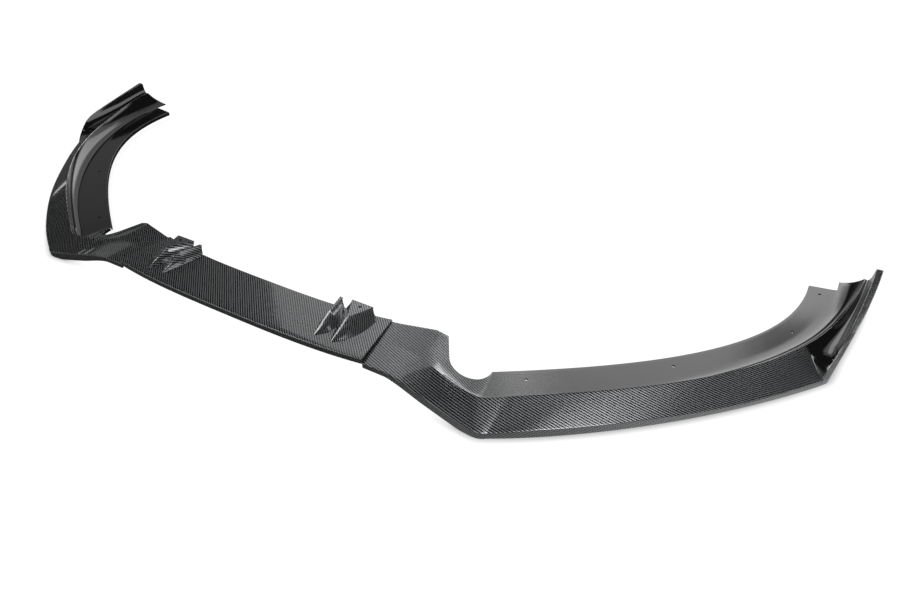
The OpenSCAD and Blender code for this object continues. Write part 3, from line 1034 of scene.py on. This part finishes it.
@dataclass
class Strake:
    """One hollow strake of the centre section, with its sizes in millimetres."""

    nose_x: float
    base_out: float
    bulge: float
    base_in: float
    top_rear: tuple[float, float]
    plan: LipPlan = field(default_factory=LipPlan)
    height: float = 19.0
    rear_height: float = 15.0
    length: float = 88.0
    base_length: float = 76.0
    knee: float = 0.52
    flank_print: float = 0.7
    front_gap: float = 8.0
    crease_top: float = 6.0

    def ring(self, t: float) -> list[Vector]:
        """Works out the section across the strake.

        Args:
            t: share of the strake's length, from its nose at 0 to its rear at 1.

        Returns:
            The points from the outer foot over the top to the inner foot.
        """
        y0 = self.plan.inner_y + self.front_gap
        y_base, y_top = y0 + self.base_length * t, y0 + self.length * t
        back = clamp01((t - self.knee) / (1 - self.knee))
        h = self.height * t / self.knee if t < self.knee else mix(self.height, self.rear_height, back)
        crease_h = min(self.crease_top, 0.6 * h)
        out_x = self.nose_x + 1.5 + self.base_out * (1 - (1 - t) ** 3) + self.bulge * math.sin(math.pi * t)
        in_x = self.nose_x - 1.5 - self.base_in * (1 - (1 - t) ** 1.3)
        top_out = self.nose_x + 1 + mix(t, self.top_rear[1], back)
        top_in = self.nose_x - 1 + mix(-t, self.top_rear[0], back)
        z = self.plan.centre_top

        def at(x: float, u: float, up: float) -> Vector:
            """Returns a point at a height, a share of the way from base to top along Y."""
            return Vector((x, mix(y_base, y_top, u), z + up))

        crease_out = at(mix(out_x, top_out, 0.35), 0.3, crease_h)
        crease_in = at(mix(in_x, top_in, 0.3), 0.3, crease_h)
        waist_out = at(mix(out_x, top_out, 0.85), 0.6, mix(crease_h, h, 0.38))
        waist_in = at(mix(in_x, top_in, 0.82), 0.6, mix(crease_h, h, 0.34))
        shoulder_out, shoulder_in = at(top_out, 1, h), at(top_in, 1, h)
        flank_out = [bend(crease_out, waist_out, shoulder_out, u / 6) for u in range(7)]
        flank_in = [bend(shoulder_in, waist_in, crease_in, u / 6) for u in range(7)]
        crest = mix(shoulder_out, shoulder_in, 0.5)
        return [at(out_x, 0, -1), *flank_out, crest, *flank_in, at(in_x, 0, -1)]

    def mesh(self, side: Side) -> bmesh.types.BMesh:
        """Builds the strake from a grid that is rolled up over its sections.

        Args:
            side: the side of the car it is on.

        Returns:
            The closed shell.
        """
        steps = sorted({0.015} | {n / 28 for n in range(1, 29)} | {self.knee})
        rings = [ring + ring[:1] for ring in map(self.ring, steps)]
        top = (len(rings[0]) - 1) // 2

        def weave(j: int, n: int) -> tuple[float, float]:
            """Unrolls a point of the strake from its top to both sides.

            Args:
                j: number of the section.
                n: number of the point on it.

            Returns:
                Its place on the cloth.
            """
            ring = rings[j]
            reach = sum((ring[m + 1] - ring[m]).length for m in range(min(n, top), max(n, top)))
            return twill_45(Vector((ring[top].x + (reach if n < top else -reach), ring[top].y)))

        def printed(j: int, columns: list[int]) -> float:
            """Returns a full print on the top and a fainter one on the steep flanks."""
            return 1.0 if min(abs(n - top) for n in columns) == 0 else self.flank_print

        bm = lay_grid([[self.plan.placed(p, side) for p in ring] for ring in rings], weave, printed)
        bmesh.ops.remove_doubles(bm, verts=bm.verts, dist=1e-6)
        bmesh.ops.holes_fill(bm, edges=[edge for edge in bm.edges if edge.is_boundary], sides=0)
        bmesh.ops.recalc_face_normals(bm, faces=bm.faces)
        return bm


def twill_45(p: Vector) -> tuple[float, float]:
    """Returns the place along and across ribs that lie at 135 degrees in plan, in metres."""
    return ((p.y - p.x) * MM / math.sqrt(2), (p.x + p.y) * MM / math.sqrt(2))


@dataclass
class CentreSection:
    """The flat centre section with its turned-down edges and four strakes."""

    plan: LipPlan = field(default_factory=LipPlan)
    front_lip: float = 10.0
    tab_hole: Vector = field(default_factory=lambda: Vector((200, 89, 42)))
    hole_r: float = 2.5
    shoulder: tuple[tuple[float, float], ...] = (
        (0.0, 2.0), (0.15, 1.25), (0.6, 0.6), (1.25, 0.15), (2.2, 0.0))
    lip_inset: float = 0.02
    lip_sink: float = 1.5
    strakes: tuple[Strake, ...] = field(default_factory=lambda: (
        Strake(nose_x=201, base_out=30, bulge=0, base_in=28, top_rear=(-23, 16)),
        Strake(nose_x=168, base_out=0, bulge=18, base_in=19, top_rear=(-12, -9), length=85.0),
    ))

    def half_width(self, y: float) -> float:
        """Returns half the width of the plate at a depth."""
        back = (y - self.plan.inner_y) / self.plan.centre_depth
        return mix(self.plan.half_centre, self.plan.half_rear, back)

    def row(self, a: float) -> tuple[list[Vector], list[float]]:
        """Works out one section of the plate from front to rear.

        Args:
            a: share of the half width, from -1 on the left to 1 on the right.

        Returns:
            The points, and how deep each lies on the unrolled cloth.
        """
        swell = 1 - abs(a) ** 3
        front = self.plan.inner_y - self.plan.front_bow * swell
        rear = self.plan.rear_y - self.plan.rear_bow * swell
        shoulder = [(front + back, down) for back, down in self.shoulder]
        flat = [(mix(shoulder[-1][0], rear, u / 12), 0.0) for u in range(1, 13)]
        profile = [(front, self.front_lip), (front, 6.0)] + shoulder + flat
        points = [Vector((a * self.half_width(y), y, self.plan.centre_top - down)) for y, down in profile]
        depth = [y - down for y, down in profile]
        return points, depth

    def plate(self) -> bmesh.types.BMesh:
        """Builds the plate with its turned-down front edge from a grid.

        Returns:
            The plate, with its wall.
        """
        steps = 96
        rows = [self.row(-1 + 2 * n / steps) for n in range(steps + 1)]

        def weave(j: int, n: int) -> tuple[float, float]:
            """Returns the place on the cloth, unrolled over the front edge."""
            return twill_45(Vector((rows[j][0][n].x, rows[j][1][n])))

        placed = [[self.plan.placed(p) for p in points] for points, _ in rows]
        bm = lay_grid(placed, weave, lambda j, columns: 1.0)
        bmesh.ops.solidify(bm, geom=bm.faces[:], thickness=self.plan.wall * MM)
        return bm

    def side_lip(self, side: Side) -> bmesh.types.BMesh:
        """Builds the edge that is turned down along a joint.

        Args:
            side: the side of the car the joint is on.

        Returns:
            The closed mesh.
        """
        plan = self.plan
        bm = bmesh.new()
        bmesh.ops.create_cube(bm, size=1.0)
        for vert in bm.verts:
            y = plan.inner_y + 1 if vert.co.y < 0 else plan.rear_y - 1
            x = self.half_width(y) - (self.lip_inset if vert.co.x > 0 else plan.wall)
            z = plan.centre_top - self.lip_sink if vert.co.z > 0 else plan.tongue_z(y) + plan.seat_gap
            vert.co = plan.placed(Vector((x, y, z)), side)
        bmesh.ops.recalc_face_normals(bm, faces=bm.faces)
        bm.loops.layers.uv.new("Weave")
        bm.loops.layers.uv.new("Print")
        return bm

    def build(self, finish: bpy.types.Material) -> list[bpy.types.Object]:
        """Builds and dresses the section.

        Args:
            finish: the material of the moulding.

        Returns:
            The plate, its turned-down ends and its strakes.
        """
        pieces = [finish_mesh("centre_section_plate", self.plate())]
        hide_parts("centre_section")
        for side in Side:
            pieces.append(finish_mesh(f"centre_{side.name.lower()}_lip", self.side_lip(side)))
            for name, strake in zip(("outer", "inner"), self.strakes):
                bm = strake.mesh(side)
                if name == "outer":
                    screw_way = rod(self.plan.placed(self.tab_hole, side), self.hole_r * MM, 0.04, 32)
                    bm = cut(bm, [screw_way], is_open=False)
                pieces.append(finish_mesh(f"{side.name.lower()}_{name}_strake", bm, sharp=24))
        for piece in pieces:
            piece.data.materials.clear()
            piece.data.materials.append(finish)
            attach(piece, "root")
            log.info("%s: %d faces", piece.name, len(piece.data.polygons))
        return pieces


# Studio


@dataclass(frozen=True)
class Panel:
    """A soft box or black flag of the studio, by its direction in degrees and its level.

    Azimuth turns from +X towards +Y, and a level of 1 is the white backdrop.
    """

    azimuth: tuple[float, float]
    height: tuple[float, float]
    level: float
    soft: float = 3.0


@dataclass(frozen=True)
class Lamp:
    """A round soft lamp that shines on the lip from a direction, in degrees and metres."""

    azimuth: float
    height: float
    distance: float
    across: float
    level: float

    def build(self) -> None:
        """Hangs the lamp, with a level of 1 for the white backdrop."""
        data = bpy.data.lights.new("key_lamp", "AREA")
        data.shape = "DISK"
        data.size = self.across
        data.energy = self.level * math.pi * math.pi * (self.across / 2) ** 2
        az, el = math.radians(self.azimuth), math.radians(self.height)
        away = Vector((math.cos(az) * math.cos(el), math.sin(az) * math.cos(el), math.sin(el)))
        lamp = bpy.data.objects.new("key_lamp", data)
        lamp.location = away * self.distance
        lamp.rotation_euler = away.to_track_quat("Z", "Y").to_euler()
        bpy.context.scene.collection.objects.link(lamp)


@dataclass
class Studio:
    """White studio: floor, soft boxes, lamp and camera.

    The eye is in metres, its angles are in degrees, and the focal length is in pixels of the
    photograph. The seam is where the azimuth of the panels starts and ends.
    """

    eye: tuple[float, float, float] = (0.77253, -0.88698, 0.71959)
    azimuth: float = 30.049
    elevation: float = 36.926
    focal_px: float = 694.0
    backdrop: float = 0.02
    seam: tuple[float, float] = (-70.0, 290.0)
    floor_size: float = 12.0
    floor_white: float = 1.12
    floor_share: float = 0.93
    lamp: Lamp = field(default_factory=lambda: Lamp(-35.0, 54.0, 4.0, 1.8, 6.6))
    painted_shadow_reach: float = 0.013
    floor_shine: tuple[float, float] = (0.55, 0.05)
    pool: tuple[float, float, float] = (0.85, 0.05, 0.0)
    pool_reach: tuple[float, float] = (0.3, 0.75)
    panels: tuple[Panel, ...] = (
        Panel((205, 285), (8, 45), 1.0, 8.0),
        Panel((181, 189), (52, 64), 7.0, 2.5),
        Panel((-6, 6), (-10, 34), 2.0, 2.5),
        Panel((20, 72), (-8, 19), 2.8, 4.0),
        Panel((112, 138.5), (6, 58), 0.7, 0.7),
        Panel((90, 117), (6, 46), 2.9, 4.0),
        Panel((76, 90), (6, 46), 1.1, 4.0),
        Panel((78, 112), (46, 58), 0.8, 3.0),
        Panel((162.8, 163.4), (-5, 22), 1.3, 0.3),
        Panel((166.6, 167.2), (-5, 22), 1.3, 0.3),
        Panel((144, 160), (14, 28), 0.25, 2.0),
    )

    def camera(self) -> None:
        """Places the camera at the photograph's viewpoint."""
        data = bpy.data.cameras.new("camera")
        data.sensor_width = 36.0
        data.sensor_fit = "HORIZONTAL"
        data.lens = self.focal_px / IMAGE_WIDTH * data.sensor_width
        data.clip_end = 50.0
        camera = bpy.data.objects.new("camera", data)
        az, el = math.radians(self.azimuth), math.radians(self.elevation)
        look = Vector((-math.sin(az) * math.cos(el), math.cos(az) * math.cos(el), -math.sin(el)))
        camera.location = self.eye
        camera.rotation_euler = look.to_track_quat("-Z", "Y").to_euler()
        bpy.context.scene.collection.objects.link(camera)
        bpy.context.scene.camera = camera

    def floor(self) -> None:
        """Lays the white floor, which keeps the lip's shadow.

        The camera sees it glow, with a painted contact shadow where it meets the lip, over a share of
        plain paint that takes the lip's real shadow. The gloss sees a painted pool of light: the floor
        glows near the pool and hardly at all further away.
        """
        bm = bmesh.new()
        bmesh.ops.create_grid(bm, x_segments=1, y_segments=1, size=self.floor_size)
        floor = finish_mesh("floor", bm)
        material = bpy.data.materials.new("painted_floor")
        material.use_nodes = True
        tree = material.node_tree
        tree.nodes.clear()
        path = add_node(tree, "ShaderNodeLightPath").outputs
        paint = add_node(tree, "ShaderNodeBsdfDiffuse", {"Color": linear("#f4f4f4")})
        # Ambient occlusion darkens the glow that the camera sees where the floor meets the lip: a painted
        # contact shadow.
        near = add_node(tree, "ShaderNodeAmbientOcclusion", {"Distance": self.painted_shadow_reach}, samples=8)
        plain = maths(tree, "MULTIPLY", near.outputs["AO"], self.floor_white)
        place = add_node(tree, "ShaderNodeTexCoord").outputs["Object"]
        # Gloss rays see the floor glow brightest round the pool and fade further away: a painted pool of
        # light.
        away = add_node(tree, "ShaderNodeVectorMath", {0: place, 1: self.pool}, operation="DISTANCE")
        shine = add_node(tree, "ShaderNodeMapRange", {
            0: away.outputs["Value"], 1: self.pool_reach[0], 2: self.pool_reach[1],
            3: self.floor_shine[0], 4: self.floor_shine[1]}).outputs[0]
        level = add_node(tree, "ShaderNodeMix", {0: path["Is Glossy Ray"], 2: plain, 3: shine},
                         data_type="FLOAT").outputs[0]
        glow = add_node(tree, "ShaderNodeEmission", {"Color": linear("#ffffff"), "Strength": level})
        direct = maths(tree, "MULTIPLY", path["Is Camera Ray"], self.floor_share)
        mirrored = maths(tree, "MAXIMUM", path["Is Glossy Ray"], path["Is Transmission Ray"])
        seen = maths(tree, "MAXIMUM", direct, mirrored)
        blend = add_node(tree, "ShaderNodeMixShader", {0: seen, 1: paint.outputs[0], 2: glow.outputs[0]})
        add_node(tree, "ShaderNodeOutputMaterial", {"Surface": blend.outputs[0]})
        floor.data.materials.append(material)

    def band(
        self, tree: bpy.types.NodeTree, value: bpy.types.NodeSocket, low: float, high: float, soft: float
    ) -> bpy.types.NodeSocket:
        """Adds a mask with soft borders.

        Args:
            tree: the node tree.
            value: the angle that is tested, in degrees.
            low: where the mask starts.
            high: where it ends.
            soft: half the width of each border.

        Returns:
            The mask, which is 1 between the borders and 0 outside them.
        """
        rise, fall = (
            add_node(tree, "ShaderNodeMapRange", {0: value, 1: edge - soft, 2: edge + soft},
                     interpolation_type="SMOOTHSTEP").outputs[0]
            for edge in (low, high)
        )
        return maths(tree, "SUBTRACT", rise, fall)

    def world(self) -> None:
        """Lights the studio: white for the camera, a dark room with soft boxes for other rays."""
        world = bpy.data.worlds.new("studio")
        bpy.context.scene.world = world
        world.use_nodes = True
        tree = world.node_tree
        tree.nodes.clear()
        sky = add_node(tree, "ShaderNodeTexCoord").outputs["Generated"]
        axes = add_node(tree, "ShaderNodeSeparateXYZ", {0: sky})
        azimuth = maths(tree, "DEGREES", maths(tree, "ARCTAN2", axes.outputs[1], axes.outputs[0]))
        azimuth = maths(tree, "WRAP", azimuth, self.seam[1], self.seam[0])
        height = maths(tree, "DEGREES", maths(tree, "ARCSINE", axes.outputs[2]))
        light = self.backdrop
        for panel in self.panels:
            across = self.band(tree, azimuth, *panel.azimuth, panel.soft)
            upright = self.band(tree, height, *panel.height, panel.soft)
            mask = maths(tree, "MULTIPLY", across, upright)
            light = add_node(tree, "ShaderNodeMix", {0: mask, 2: light, 3: panel.level},
                             data_type="FLOAT").outputs[0]
        seen = add_node(tree, "ShaderNodeLightPath").outputs["Is Camera Ray"]
        strength = add_node(tree, "ShaderNodeMix", {0: seen, 2: light, 3: 1.0}, data_type="FLOAT").outputs[0]
        background = add_node(tree, "ShaderNodeBackground", {
            "Color": linear("#ffffff"), "Strength": strength})
        add_node(tree, "ShaderNodeOutputWorld", {"Surface": background.outputs[0]})

    def build(self) -> None:
        """Builds camera, floor and light."""
        self.camera()
        self.floor()
        self.lamp.build()
        self.world()
        bpy.context.scene.view_settings.view_transform = "Standard"


def main() -> None:
    """Builds the studio and the three mouldings."""
    logging.basicConfig(level=logging.INFO, format="%(name)s %(message)s")
    Studio().build()
    CentreSection().build(TwillPrint("twill_print_on_abs_centre").build())
    side_finish = TwillPrint("twill_print_on_abs_sides").build()
    for side in Side:
        SideSection(side).build(side_finish)


if __name__ == "__main__":
    main()
